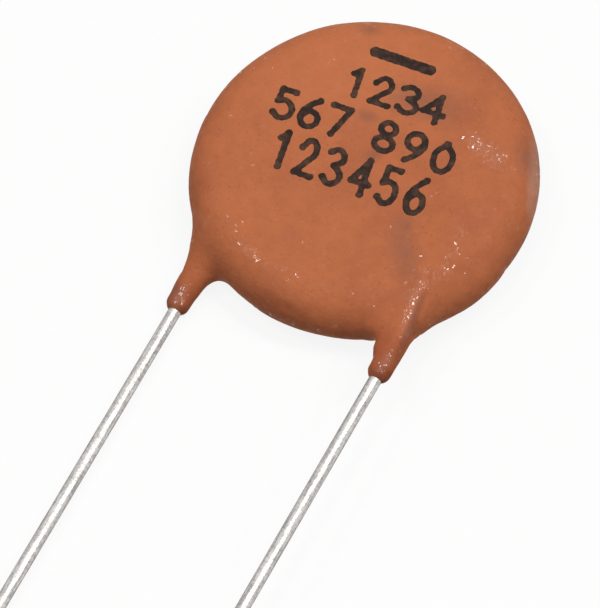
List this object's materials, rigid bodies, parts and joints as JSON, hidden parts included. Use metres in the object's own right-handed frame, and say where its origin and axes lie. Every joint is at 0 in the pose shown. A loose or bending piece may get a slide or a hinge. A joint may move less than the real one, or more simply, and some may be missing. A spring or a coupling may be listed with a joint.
{
  "type": "ceramic disc capacitor",
  "caption": "Dipped radial ceramic disc capacitor with two long straight tinned leads, for mounting through the holes of a circuit board.",
  "frame": {"origin": "middle of the flat back face of the coated disc, on which it lies", "axes": "+Z along the disc's axis, from the back face towards the printed front face; -Y along the leads, towards their free ends; +X across the two leads, from the back lead towards the front lead"},
  "size_m": [0.0144, 0.0436, 0.0032],
  "materials": {
    "coating": "satin",
    "ceramic": "matte",
    "silver_film": "matte",
    "solder": "satin",
    "tinned_wire": "satin",
    "marking_ink": "matte"
  },
  "bodies": {
    "root": {"coating": "coating", "ceramic_disc": "ceramic", "front_electrode": "silver_film", "back_electrode": "silver_film", "front_solder": "solder", "back_solder": "solder", "front_lead": "tinned_wire", "back_lead": "tinned_wire"}
  },
  "joints": []
}
